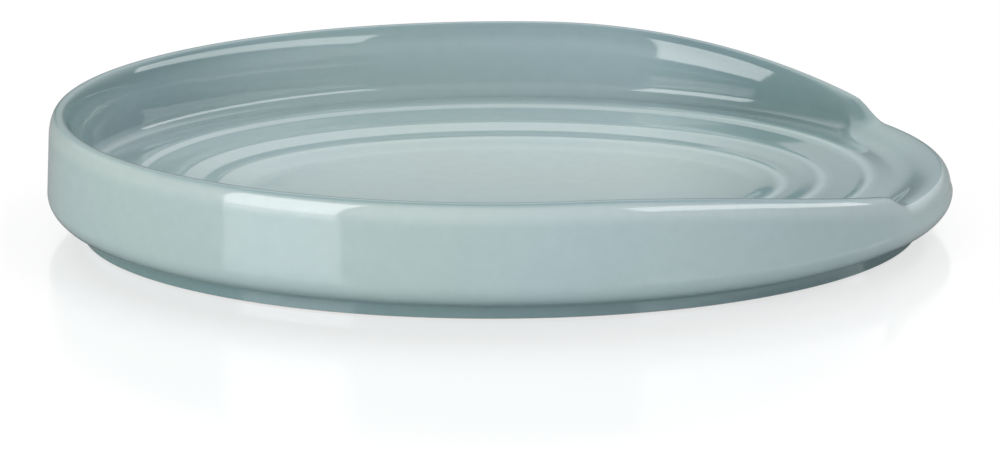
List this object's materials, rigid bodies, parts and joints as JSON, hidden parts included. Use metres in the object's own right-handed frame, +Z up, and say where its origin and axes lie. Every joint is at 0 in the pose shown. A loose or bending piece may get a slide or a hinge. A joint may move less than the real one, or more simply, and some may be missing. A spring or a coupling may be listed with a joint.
{
  "type": "spoon rest",
  "caption": "Oval glazed stoneware spoon rest with a wall that sweeps down to an open lip, concentric raised rings on its floor and a stepped foot ring",
  "frame": {"origin": "the middle of the foot ring's resting face, on the table", "axes": "+X runs along the length to the low lip, +Y across the width, +Z up"},
  "size_m": [0.15, 0.119, 0.0203],
  "materials": {
    "bare_stoneware": "fired clay, matte, finely grained",
    "glaze": "glossy pale grey-green glaze"
  },
  "bodies": {
    "root": {"stoneware_body": "bare_stoneware", "glaze_coat": "glaze", "base_glaze": "glaze"}
  },
  "joints": []
}
